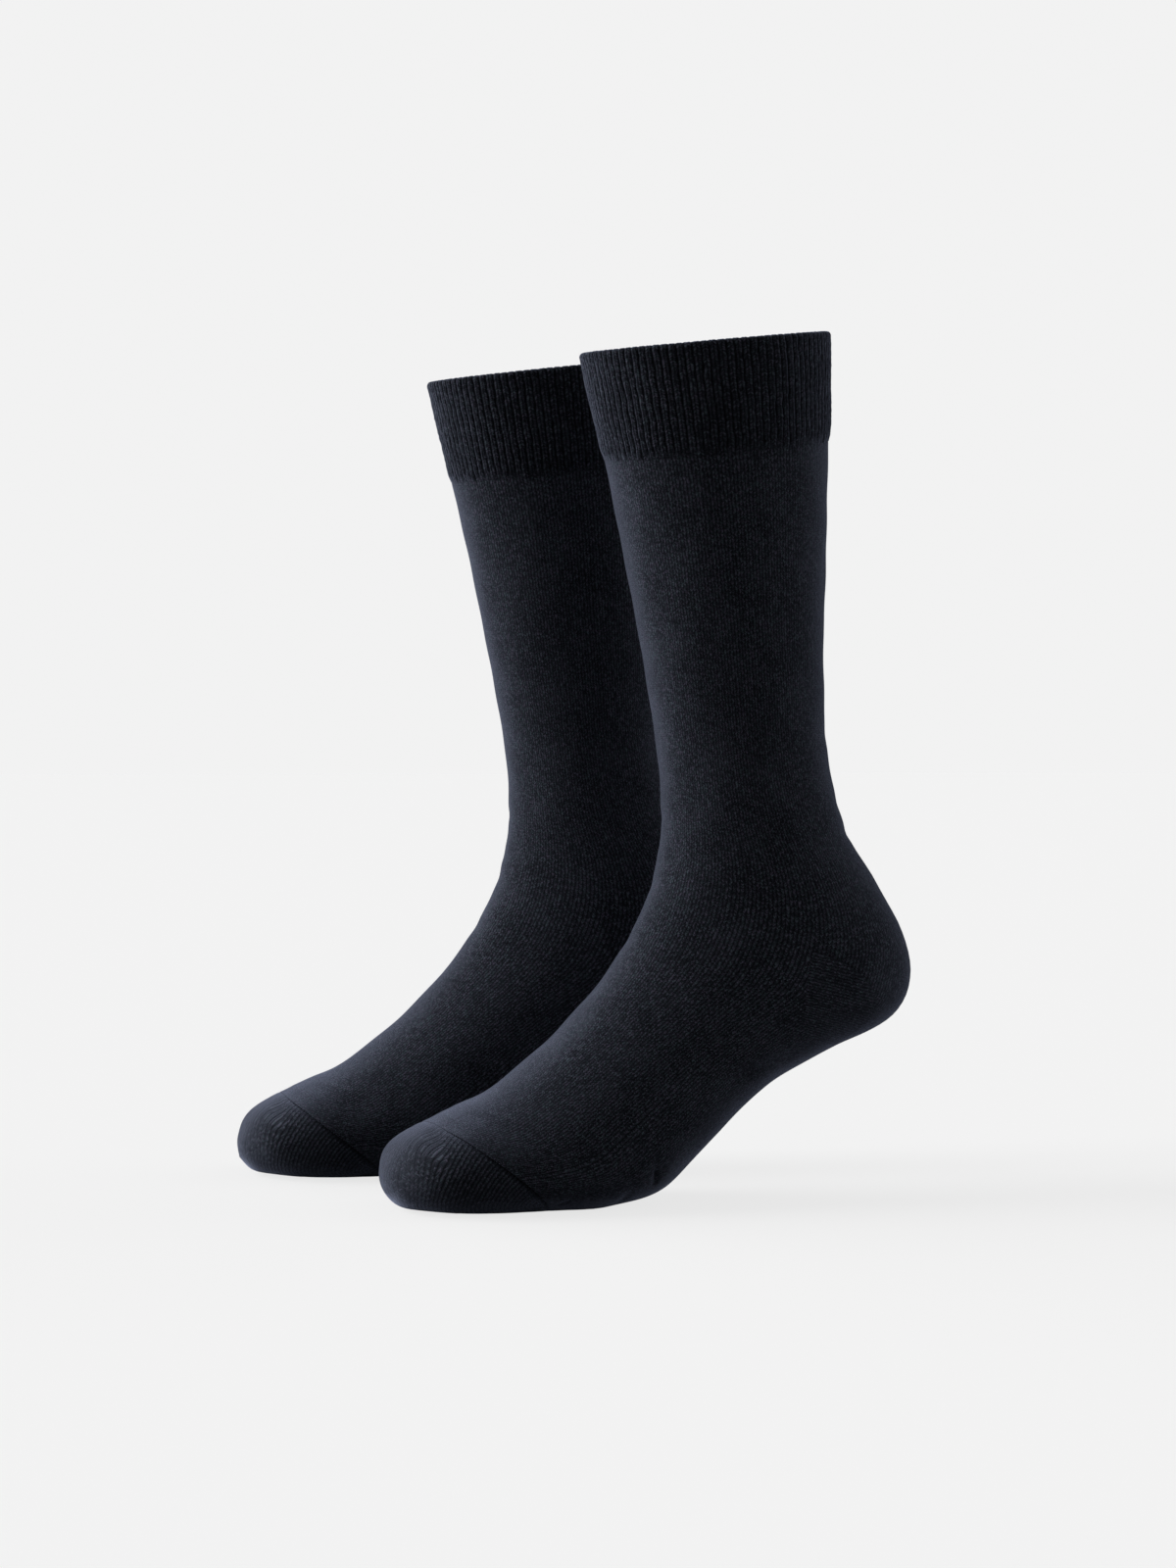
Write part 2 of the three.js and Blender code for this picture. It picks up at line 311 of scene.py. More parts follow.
# Angles from 180 to 360 are the side at -Y: the outer, nearer side in the camera's view.
CREASES = (
    Crease((16.2, -60), (16.2, 60), 12.0, -1.6),
    Crease((15.62, 246), (16.1, 224), 1.0, 1.3, 0.65),
    Crease((15.75, 240), (15.9, 228), 4.5, 0.9),
    Crease((16.35, 236), (16.9, 214), 3.0, 0.5),
    Crease((15.6, 119), (16.05, 138), 1.0, 1.0, 0.4),
    Crease((16.2, 126), (16.7, 150), 3.2, 0.6),
    Crease((17.4, 242), (17.8, 231), 1.2, 0.5),
    Crease((17.3, 122), (17.7, 130), 1.4, 0.5),
    Crease((9.3, 318), (9.7, 372), 4.2, 0.7),
    Crease((10.4, 330), (10.2, 395), 5.5, 0.5),
    Crease((8.3, 345), (8.1, 402), 4.0, 0.45),
    Crease((11.6, 338), (11.9, 384), 5.0, 0.4),
    Crease((7.1, 150), (7.5, 212), 4.8, 0.7),
    Crease((8.0, 162), (7.9, 226), 3.8, 0.55),
    Crease((6.2, 178), (6.0, 232), 5.5, 0.4),
    Crease((13.2, 228), (14.3, 250), 4.5, 0.45),
    Crease((13.4, 112), (14.4, 136), 4.2, 0.5),
    Crease((3.2, 205), (4.1, 214), 5.0, 0.35),
    Crease((4.6, 198), (5.3, 190), 6.0, 0.4),
    Crease((2.5, 285), (3.6, 292), 6.5, 0.3),
)


# Slow waves of the cloth: how fast each one runs in x, y and z, and where it starts.
RIPPLE_WAVES = ((0.11, 0.05, 0.07, 0.0), (-0.06, 0.13, 0.045, 1.7), (0.03, -0.09, 0.16, 4.1))
RIPPLE_PACE = 1.6
RIPPLE_HEIGHT = 0.11


def ripple(points: np.ndarray) -> np.ndarray:
    """Gives the slight unevenness, in millimetres, of cloth that nothing stretches quite evenly."""
    waves = (np.sin(points @ np.array(wave) * RIPPLE_PACE + start) for *wave, start in RIPPLE_WAVES)
    return RIPPLE_HEIGHT * sum(waves)


def fold_shade(rows: np.ndarray, degrees: np.ndarray) -> np.ndarray:
    """Gives the painted shade inside the cloth's sharp folds.

    Args:
        rows: Places along the sock.
        degrees: Angles round it.

    Returns:
        Shades from 0 to 1, one for each point in turn.
    """
    flat = FORM.surface(rows, degrees).reshape(-1, 3)
    folds = [crease.shade * crease.push(flat) / crease.depth for crease in CREASES if crease.shade > 0]
    return np.clip(sum(folds), 0, 1)


def cloth_points(rows: np.ndarray, degrees: np.ndarray, raised: np.ndarray | float = 0.0) -> np.ndarray:
    """Gives points of the worn cloth: the form with its creases, raised and kept off the ground.

    Args:
        rows: Places along the sock.
        degrees: Angles round it.
        raised: Height above the form in millimetres.

    Returns:
        Points in millimetres, in the shape of rows.
    """
    points = FORM.surface(rows, degrees)
    flat = points.reshape(-1, 3)
    height = ripple(flat) - sum(crease.push(flat) for crease in CREASES)
    height = np.broadcast_to(raised, points.shape[:-1]) + height.reshape(points.shape[:-1])
    points = points + FORM.outward(rows, degrees) * height[..., None]
    points[..., 2] = np.maximum(points[..., 2], 0)
    return points


@dataclass(frozen=True)
class Place:
    """Where one sock of the pair stands."""

    name: str
    shift: tuple[float, float]
    turn: float

    def put(self, points: np.ndarray) -> np.ndarray:
        """Moves points of a sock to its place.

        Args:
            points: Points in millimetres, sole at z = 0.

        Returns:
            Points in metres in the part's frame.
        """
        turn = math.radians(self.turn)
        spin = np.array([[math.cos(turn), -math.sin(turn)], [math.sin(turn), math.cos(turn)]])
        placed = np.array(points, dtype=float).reshape(-1, 3)
        placed[:, :2] = placed[:, :2] @ spin.T + self.shift
        placed[:, 2] -= HOLD_HEIGHT
        return placed * MM


PLACES = (Place("near", (0, -62), 0), Place("far", (-28, 61), -8))


class Slot(Enum):
    """The record's material slots."""

    CUFF = "ribbed_cuff"
    PLAIN = "plain_knit"
    POCKET = "pocket_knit"


class Graph:
    """Adds nodes to a tree; an input is given as a value or as another node's output."""

    def __init__(self, tree: bpy.types.NodeTree) -> None:
        """Takes the tree to build in."""
        self.tree = tree

    def node(self, kind: str, inputs: dict | None = None, **settings: object) -> bpy.types.Node:
        """Adds one node.

        Args:
            kind: The node's type.
            inputs: Values or sockets by input name or number.
            settings: The node's own options.

        Returns:
            The new node.
        """
        made = self.tree.nodes.new(kind)
        for name, value in settings.items():
            setattr(made, name, value)
        for key, value in (inputs or {}).items():
            if isinstance(value, bpy.types.NodeSocket):
                self.link(value, made.inputs[key])
            else:
                made.inputs[key].default_value = value
        return made

    def link(self, source: bpy.types.NodeSocket, target: bpy.types.NodeSocket) -> None:
        """Joins an output to an input."""
        self.tree.links.new(source, target)

    def rest(self, share: object) -> bpy.types.NodeSocket:
        """Gives one less a share."""
        return self.math("SUBTRACT", 1.0, share)

    def math(self, operation: str, *values: object) -> bpy.types.NodeSocket:
        """Adds a Math node with its inputs in order and gives its output."""
        return self.node("ShaderNodeMath", dict(enumerate(values)), operation=operation).outputs[0]

    def blend(self, share: object, first: object, second: object) -> bpy.types.NodeSocket:
        """Adds a mix of two colours and gives the mixed colour."""
        mix = self.node("ShaderNodeMix", {0: share, 6: first, 7: second}, data_type="RGBA")
        return mix.outputs[2]


def open_group(name: str, inputs: dict[str, tuple], outputs: dict[str, str], kind: str) -> tuple[Graph, dict]:
    """Starts a node group with named inputs and outputs.

    Args:
        name: The group's name.
        inputs: Socket type and starting value by name.
        outputs: Socket type by name.
        kind: The tree's type.

    Returns:
        The graph of the group, and its input and output nodes' sockets by name.
    """
    tree = bpy.data.node_groups.new(name, kind)
    for label, (socket_type, value) in inputs.items():
        socket = tree.interface.new_socket(name=label, in_out="INPUT", socket_type=socket_type)
        if value is not None:
            socket.default_value = value
    for label, socket_type in outputs.items():
        tree.interface.new_socket(name=label, in_out="OUTPUT", socket_type=socket_type)
    graph = Graph(tree)
    start = graph.node("NodeGroupInput")
    end = graph.node("NodeGroupOutput")
    sockets = {label: start.outputs[label] for label in inputs}
    sockets |= {f"to {label}": end.inputs[label] for label in outputs}
    return graph, sockets


def new_material(name: str) -> tuple[bpy.types.Material, Graph, bpy.types.Node]:
    """Starts a material, and gives it with its graph and its main shader.

    Args:
        name: The material's name.

    Returns:
        The material, its graph and its Principled shader.
    """
    made = bpy.data.materials.new(name)
    made.use_nodes = True
    return made, Graph(made.node_tree), made.node_tree.nodes["Principled BSDF"]


class KnitRelief:
    """The stitches of a plain knit: two slanting legs to a stitch, with a furrow between wales."""

    NAME = "knit relief"
    LEG_MIDDLE = 1.05
    LEG_SHARE = 0.35
    CENTRE_SHARPNESS = 2.5
    GAP_SHARPNESS = 3.0

    def group(self) -> bpy.types.NodeTree:
        """Builds the group once.

        Returns:
            A group from wale and course counts to a height, masks of its lines for painted shade, and the
            slanted course count.
        """
        if self.NAME in bpy.data.node_groups:
            return bpy.data.node_groups[self.NAME]
        number = "NodeSocketFloat"
        graph, io = open_group(
            self.NAME,
            {
                "Wale": (number, 0.0),
                "Course": (number, 0.0),
                "Slant": (number, 0.8),
                "Loop depth": (number, 0.45),
                "Furrow sharpness": (number, 3.0),
            },
            {"Height": number, "Furrow": number, "Centre": number, "Gap": number, "Stitch course": number},
            "ShaderNodeTree",
        )
        wale = graph.math("FRACT", io["Wale"])
        off_centre = graph.math("ABSOLUTE", graph.math("SUBTRACT", wale, 0.5))
        x = graph.math("MULTIPLY", off_centre, 2.0)
        slanted = graph.math("MULTIPLY_ADD", x, io["Slant"], io["Course"])
        loop = graph.math("ABSOLUTE", graph.math("SUBTRACT", graph.math("FRACT", slanted), 0.5))
        bulge = graph.rest(graph.math("POWER", graph.math("MULTIPLY", loop, 2.0), 2.0))
        to_leg = graph.math("SUBTRACT", graph.math("MULTIPLY", x, 2.0), self.LEG_MIDDLE)
        leg = graph.rest(graph.math("MULTIPLY", to_leg, to_leg))
        furrow = graph.math("POWER", x, io["Furrow sharpness"])
        rounded = graph.rest(furrow)
        lowered = graph.rest(io["Loop depth"])
        loops = graph.math("MULTIPLY_ADD", bulge, io["Loop depth"], lowered)
        crown = graph.math("MULTIPLY", rounded, 1.0 - self.LEG_SHARE)
        mixed = graph.math("MULTIPLY_ADD", leg, self.LEG_SHARE, crown)
        results = {
            "Height": graph.math("MULTIPLY", mixed, loops),
            "Furrow": furrow,
            "Centre": graph.math("POWER", graph.rest(x), self.CENTRE_SHARPNESS),
            "Gap": graph.math("POWER", graph.math("MULTIPLY", loop, 2.0), self.GAP_SHARPNESS),
            "Stitch course": slanted,
        }
        for label, socket in results.items():
            graph.link(socket, io[f"to {label}"])
        return graph.tree


class HeatheredYarn:
    """The melange of dark and paler fibres in the yarn: each stitch has its own share of them."""

    NAME = "heathered yarn"
    FIBRE_SCALE = 2600.0
    HUE_SCALE = 800.0
    PATCH_SCALE = 60.0
    PATCH_SPREAD = 0.5
    FIBRE_SHARE = 0.5
    RARITY = 4.0
    RARE_SHARE = 1.1

    def group(self) -> bpy.types.NodeTree:
        """Builds the group once.

        Returns:
            A group from two colours and a stitch's place to the yarn's colour over the cloth.
        """
        if self.NAME in bpy.data.node_groups:
            return bpy.data.node_groups[self.NAME]
        number, colour = "NodeSocketFloat", "NodeSocketColor"
        graph, io = open_group(
            self.NAME,
            {
                "Wale": (number, 0.0),
                "Course": (number, 0.0),
                "Dark": (colour, (0.01, 0.01, 0.014, 1)),
                "Pale": (colour, (0.05, 0.055, 0.08, 1)),
                "Second pale": (colour, (0.06, 0.05, 0.08, 1)),
                "Fleck share": (number, 0.5),
            },
            {"Color": colour, "Fleck": number},
            "ShaderNodeTree",
        )
        place = graph.node("ShaderNodeTexCoord").outputs["Object"]
        half_wale = graph.math("FLOOR", graph.math("MULTIPLY", io["Wale"], 2.0))
        half_leg = graph.math("FLOOR", graph.math("MULTIPLY", io["Course"], 2.0))
        stitch = graph.node("ShaderNodeCombineXYZ", {0: half_wale, 1: half_leg})
        lot = graph.node("ShaderNodeTexWhiteNoise", {"Vector": stitch.outputs[0]}, noise_dimensions="2D")
        fine, patch, hue = (
            graph.node(
                "ShaderNodeTexNoise",
                {"Vector": place, "Scale": scale, "Detail": detail, "Roughness": roughness},
            )
            for scale, detail, roughness in (
                (self.FIBRE_SCALE, 1.0, 0.7),
                (self.PATCH_SCALE, 3.0, 0.5),
                (self.HUE_SCALE, 1.0, 0.5),
            )
        )
        tint = graph.node("ShaderNodeMapRange", {"Value": hue.outputs[0], "From Min": 0.4, "From Max": 0.6})
        steep = graph.node(
            "ShaderNodeMapRange",
            {"Value": fine.outputs[0], "From Min": 0.5, "From Max": 0.6},
            interpolation_type="SMOOTHSTEP",
        )
        spread = graph.math("MULTIPLY_ADD", patch.outputs[0], self.PATCH_SPREAD, -self.PATCH_SPREAD / 2)
        rare = graph.math("MULTIPLY", graph.math("POWER", lot.outputs["Value"], self.RARITY), self.RARE_SHARE)
        level = graph.math("MULTIPLY_ADD", steep.outputs[0], self.FIBRE_SHARE, rare)
        fleck = graph.math("MULTIPLY", graph.math("ADD", level, spread), io["Fleck share"])
        kept = graph.node("ShaderNodeClamp", {"Value": fleck}).outputs[0]
        pale = graph.blend(tint.outputs[0], io["Pale"], io["Second pale"])
        graph.link(graph.blend(kept, io["Dark"], pale), io["to Color"])
        graph.link(kept, io["to Fleck"])
        return graph.tree


@dataclass(frozen=True)
class KnitFinish:
    """A heathered knit: its yarn, its stitch relief, its painted shade and its nap."""

    # How much of the dark yarn's colour is left under full painted shade, and how far a fleck stands out.
    SHADED_SHARE = 0.25
    FLECK_HEIGHT = 0.35

    name: str
    dark: tuple[float, float, float]
    pale: tuple[float, float, float]
    second_pale: tuple[float, float, float]
    fleck_share: float
    relief: float
    # The painted shade in the furrows between wales, down the middle of each wale and in the gaps between
    # loops.
    furrow_shade: float
    centre_shade: float = 0.0
    gap_shade: float = 0.75
    loop_depth: float = 0.45
    furrow_sharpness: float = 3.0
    nap: float = 0.72
    nap_spread: float = 0.36
    nap_tint: tuple[float, float, float] = (0.62, 0.7, 1.0)
    roughness: float = 0.95
    gloss: float = 0.03

    def material(self) -> bpy.types.Material:
        """Builds the material once.

        Returns:
            The finish as a material that reads the piece's knit map.
        """
        if self.name in bpy.data.materials:
            return bpy.data.materials[self.name]
        made, graph, shader = new_material(self.name)
        knit = graph.node("ShaderNodeUVMap", uv_map=KNIT_MAP)
        counts = graph.node("ShaderNodeSeparateXYZ", {0: knit.outputs[0]})
        stitches = graph.node("ShaderNodeGroup", node_tree=KnitRelief().group())
        yarn = graph.node("ShaderNodeGroup", node_tree=HeatheredYarn().group())
        wired = (
            (stitches, "Wale", counts.outputs[0]),
            (stitches, "Course", counts.outputs[1]),
            (yarn, "Wale", counts.outputs[0]),
            (yarn, "Course", stitches.outputs["Stitch course"]),
        )
        for group, label, socket in wired:
            graph.link(socket, group.inputs[label])
        values = (
            (stitches, "Loop depth", self.loop_depth),
            (stitches, "Furrow sharpness", self.furrow_sharpness),
            (yarn, "Dark", (*self.dark, 1)),
            (yarn, "Pale", (*self.pale, 1)),
            (yarn, "Second pale", (*self.second_pale, 1)),
            (yarn, "Fleck share", self.fleck_share),
        )
        for group, label, value in values:
            group.inputs[label].default_value = value
        # Painted shade: the piece's own, then the knit's furrows, wale middles and loop gaps, faded where the
        # knit is plain.
        shade = graph.node("ShaderNodeAttribute", attribute_name=SHADE_MAP).outputs["Fac"]
        plain = graph.node("ShaderNodeAttribute", attribute_name=PLAIN_MAP).outputs["Fac"]
        lined = graph.rest(plain)
        depths = {"Furrow": self.furrow_shade, "Centre": self.centre_shade, "Gap": self.gap_shade}
        for line, depth in depths.items():
            drawn = graph.math("MULTIPLY", graph.math("MULTIPLY", stitches.outputs[line], depth), lined)
            left = graph.rest(drawn)
            open_share = graph.rest(shade)
            shade = graph.rest(graph.math("MULTIPLY", left, open_share))
        # The colour under full painted shade.
        sunk = tuple(self.SHADED_SHARE * c for c in self.dark) + (1,)
        colour = graph.blend(shade, yarn.outputs["Color"], sunk)
        graph.link(colour, shader.inputs["Base Color"])
        raised = graph.math("MULTIPLY", stitches.outputs["Height"], lined)
        fuzz = graph.math("MULTIPLY_ADD", yarn.outputs["Fleck"], self.FLECK_HEIGHT, raised)
        bump = graph.node("ShaderNodeBump", {"Height": fuzz, "Distance": self.relief * MM, "Strength": 1.0})
        graph.link(bump.outputs[0], shader.inputs["Normal"])
        shader.inputs["Roughness"].default_value = self.roughness
        shader.inputs["Specular IOR Level"].default_value = self.gloss
        shader.inputs["Sheen Weight"].default_value = self.nap
        shader.inputs["Sheen Roughness"].default_value = self.nap_spread
        shader.inputs["Sheen Tint"].default_value = (*self.nap_tint, 1)
        return made


@dataclass(frozen=True)
class ThreadFinish:
    """The dark thread of the linked seams."""

    name: str = "seam thread"
    colour: tuple[float, float, float] = (0.004, 0.004, 0.006)
    paler: float = 2.2
    twist_scale: float = 2500.0
    roughness: float = 0.9
    gloss: float = 0.15

    def material(self) -> bpy.types.Material:
        """Builds the material once.

        Returns:
            The thread as a material.
        """
        if self.name in bpy.data.materials:
            return bpy.data.materials[self.name]
        made, graph, shader = new_material(self.name)
        place = graph.node("ShaderNodeTexCoord").outputs["Object"]
        twist = graph.node("ShaderNodeTexNoise", {"Vector": place, "Scale": self.twist_scale, "Detail": 1.0})
        lifted = tuple(self.paler * c for c in self.colour) + (1,)
        colour = graph.blend(twist.outputs[0], (*self.colour, 1), lifted)
        graph.link(colour, shader.inputs["Base Color"])
        shader.inputs["Roughness"].default_value = self.roughness
        shader.inputs["Specular IOR Level"].default_value = self.gloss
        return made


# The yarn's dark colour and its two pale ones. Each finish goes on with fleck share, relief and the painted
# shade of its furrows.
YARN = ((0.0142, 0.016, 0.021), (0.135, 0.18, 0.215), (0.17, 0.158, 0.23))
TOE_DARK = (0.022, 0.025, 0.033)
RIBBED = KnitFinish("ribbed knit", *YARN, 0.66, 0.09, 0.3, centre_shade=0.85)
PLAIN = KnitFinish(
    "plain knit", *YARN, 0.85, 0.09, 0.95, centre_shade=0.15, gap_shade=0.5, furrow_sharpness=2.0
)
HEEL = KnitFinish("heel knit", *YARN, 0.72, 0.09, 0.9, gap_shade=0.4, furrow_sharpness=2.2)
TOE = KnitFinish(
    "toe knit", TOE_DARK, *YARN[1:], 0.62, 0.22, 1.0, gap_shade=0.12, loop_depth=0.15, furrow_sharpness=1.4
)
THREAD = ThreadFinish()


class SheetMesh:
    """Collects the points, faces and knit counts of one sheet of cloth."""

    def __init__(self) -> None:
        """Starts with nothing."""
        self.points: list[np.ndarray] = []
        self.count = 0
        self.faces: list[np.ndarray] = []
        self.maps: list[np.ndarray] = []

    def add(self, points: np.ndarray) -> np.ndarray:
        """Adds points.

        Args:
            points: Points with x, y and z last.

        Returns:
            Their numbers, in the same shape.
        """
        shape = points.shape[:-1]
        size = int(np.prod(shape))
        self.points.append(points.reshape(-1, 3))
        self.count += size
        return np.arange(self.count - size, self.count).reshape(shape)

    @staticmethod
    def corners(grid: np.ndarray) -> np.ndarray:
        """Gives a grid's values at the four corners of each cell, with the corner last."""
        return np.stack([grid[:-1, :-1], grid[:-1, 1:], grid[1:, 1:], grid[1:, :-1]], axis=-1)

    def quads(self, numbers: np.ndarray, wales: np.ndarray, courses: np.ndarray) -> None:
        """Fills a grid of points, whose rows run down the sock and columns round it.

        Args:
            numbers: Point numbers.
            wales: Wale counts in the same shape.
            courses: Course counts in the same shape.
        """
        self.faces.append(self.corners(numbers).reshape(-1, 4))
        knit = np.stack([self.corners(wales), self.corners(courses)], axis=-1)
        self.maps.append(knit.reshape(-1, 2))

    def build(self, name: str, place: Place, shades: np.ndarray | None = None) -> bpy.types.Object:
        """Makes the Blender object, smooth all over.

        Args:
            name: The piece's name.
            place: Where its sock stands.
            shades: The painted shade at each point, in seams, folds and gore lines, from 0 to 1.

        Returns:
            The object, at the origin, with its place in its mesh.
        """
        points = place.put(np.concatenate(self.points))
        faces = np.concatenate(self.faces)
        # A cell that ends in a pole is a triangle, because its last two corners are one point.
        kept = np.ones(faces.shape, dtype=bool)
        kept[:, -1] = faces[:, -1] != faces[:, -2]
        mesh = bpy.data.meshes.new(name)
        mesh.from_pydata(points.tolist(), [], [face[held].tolist() for face, held in zip(faces, kept)])
        knit = np.concatenate(self.maps).reshape(*faces.shape, 2)[kept]
        mesh.uv_layers.new(name=KNIT_MAP).data.foreach_set("uv", knit.ravel())
        # The painted shade, which the finish reads to darken the yarn's colour.
        seam = mesh.attributes.new(SHADE_MAP, "FLOAT", "POINT")
        seam.data.foreach_set("value", np.zeros(len(points)) if shades is None else shades.ravel())
        mesh.polygons.foreach_set("use_smooth", np.ones(len(faces), dtype=bool))
        piece = bpy.data.objects.new(name, mesh)
        bpy.context.scene.collection.objects.link(piece)
        return piece


def bake(piece: bpy.types.Object) -> None:
    """Turns a piece's live modifiers into plain mesh.

    Args:
        piece: The object, whose modifiers are then gone.
    """
    graph = bpy.context.evaluated_depsgraph_get()
    evaluated = piece.evaluated_get(graph)
    mesh = bpy.data.meshes.new_from_object(evaluated, preserve_all_data_layers=True, depsgraph=graph)
    old = piece.data
    piece.modifiers.clear()
    piece.data = mesh
    bpy.data.meshes.remove(old)
    mesh.name = piece.name


def thicken(piece: bpy.types.Object, wall: float) -> None:
    """Gives a sheet its wall on the inner side.

    Args:
        piece: The sheet, facing outwards.
        wall: Thickness in millimetres.
    """
    solid = piece.modifiers.new("wall", "SOLIDIFY")
    solid.thickness = wall * MM
    solid.offset = -1
    bake(piece)
    piece.data.set_sharp_from_angle(angle=math.radians(CLOTH_EDGE))


# How far the columns are drawn together beside the heel's apexes.
APEX_EASE = 0.45


def cut_columns(front_steps: int, back_steps: int) -> np.ndarray:
    """Gives the angles of the columns all round, closer together beside the heel's apexes.

    Args:
        front_steps: Steps over the front.
        back_steps: Steps over the back.

    Returns:
        Angles from the apex on one side, round the back, to the same apex again.
    """
    shares = np.linspace(0, 1, back_steps + 1)
    eased = 0.5 - 0.5 * np.cos(np.pi * shares)
    back = APEX_ANGLE + (360 - 2 * APEX_ANGLE) * (APEX_EASE * eased + (1 - APEX_EASE) * shares)
    front = np.linspace(360 - APEX_ANGLE, 360 + APEX_ANGLE, front_steps + 1)
    return np.concatenate([back, front[1:]])


def finish_tree(graph: Graph, io: dict, shape: bpy.types.NodeSocket) -> None:
    """Ends a Geometry Nodes tree: the shape is made real and takes the tree's material.

    Args:
        graph: The tree's graph.
        io: Its sockets by name.
        shape: The finished geometry.
    """
    whole = graph.node("GeometryNodeRealizeInstances", {"Geometry": shape})
    dressed = graph.node(
        "GeometryNodeSetMaterial", {"Geometry": whole.outputs[0], "Material": io["Material"]}
    )
    graph.link(dressed.outputs[0], io["to Geometry"])


@dataclass
class RibTree:
    """Raises the ribs of a cuff out of its smooth wall."""

    # Scale, detail and roughness of the noises that shift the ribs, swell them and make their edges jagged.
    NOISES = ((170.0, 2.0, 0.65), (420.0, 1.0, 0.5), (760.0, 1.0, 0.5))
    # Parts of a rib's half width where the groove takes painted shade and where its two rows of legs rise,
    # and how far.
    GROOVE = {"From Min": 0.58, "From Max": 0.95}
    LEG_RISE = {"From Min": 0.0, "From Max": 0.3, "To Min": 0.68, "To Max": 1.0}
    JAG_SHARE = 0.4
    CREST = 0.7

    height: float
    roundness: float = 2.6
    wander: float = 0.7
    name: str = "cuff ribs"

    def tree(self) -> bpy.types.NodeTree:
        """Builds the tree once.

        Returns:
            A Geometry Nodes tree that moves points along their normals by the rib's profile, and stores
            painted shade in its grooves.
        """
        if self.name in bpy.data.node_groups:
            return bpy.data.node_groups[self.name]
        number = "NodeSocketFloat"
        graph, io = open_group(
            self.name,
            {
                "Geometry": ("NodeSocketGeometry", None),
                "Rib height": (number, self.height * MM),
                "Roundness": (number, self.roundness),
                "Wander": (number, self.wander),
                "Seed": (number, float(SEED)),
                "Material": ("NodeSocketMaterial", None),
            },
            {"Geometry": "NodeSocketGeometry"},
            "GeometryNodeTree",
        )
        phase = graph.node("GeometryNodeInputNamedAttribute", {"Name": "rib_phase"}, data_type="FLOAT")
        share = graph.node("GeometryNodeInputNamedAttribute", {"Name": "rib_share"}, data_type="FLOAT")
        place = graph.node("GeometryNodeInputPosition").outputs[0]
        drift, swell, jag = (
            graph.node(
                "ShaderNodeTexNoise",
                {"Vector": place, "W": io["Seed"], "Scale": scale, "Detail": detail, "Roughness": roughness},
                noise_dimensions="4D",
            ).outputs[0]
            for scale, detail, roughness in self.NOISES
        )
        both = graph.math("MULTIPLY_ADD", graph.math("SUBTRACT", jag, 0.5), self.JAG_SHARE, drift)
        shift = graph.math("MULTIPLY", graph.math("SUBTRACT", both, 0.5), io["Wander"])
        centred = graph.math("FRACT", graph.math("ADD", graph.math("ADD", phase.outputs[0], 0.5), shift))
        away = graph.math("MULTIPLY", graph.math("ABSOLUTE", graph.math("SUBTRACT", centred, 0.5)), 2.0)
        # Painted shade in the groove between ribs, scaled by the ribs' share.
        groove = graph.node(
            "ShaderNodeMapRange",
            {"Value": away, **self.GROOVE, "To Max": share.outputs[0]},
            interpolation_type="SMOOTHSTEP",
        )
        shaded = graph.node(
            "GeometryNodeStoreNamedAttribute",
            {"Geometry": io["Geometry"], "Name": SHADE_MAP, "Value": groove.outputs[0]},
            data_type="FLOAT",
            domain="POINT",
        )
        hollow = graph.math("POWER", away, io["Roundness"])
        ridge = graph.math("POWER", graph.rest(hollow), self.CREST)
        between_legs = graph.node(
            "ShaderNodeMapRange", {"Value": away, **self.LEG_RISE}, interpolation_type="SMOOTHSTEP"
        )
        uneven = graph.math("MULTIPLY_ADD", swell, 1.0, 0.5)
        legs = graph.math("MULTIPLY", ridge, between_legs.outputs[0])
        lift = graph.math("MULTIPLY", graph.math("MULTIPLY", legs, uneven), share.outputs[0])
        rise = graph.math("MULTIPLY", lift, io["Rib height"])
        normal = graph.node("GeometryNodeInputNormal").outputs[0]
        offset = graph.node("ShaderNodeVectorMath", {0: normal, "Scale": rise}, operation="SCALE")
        moved = graph.node(
            "GeometryNodeSetPosition", {"Geometry": shaded.outputs[0], "Offset": offset.outputs[0]}
        )
        finish_tree(graph, io, moved.outputs[0])
        return graph.tree


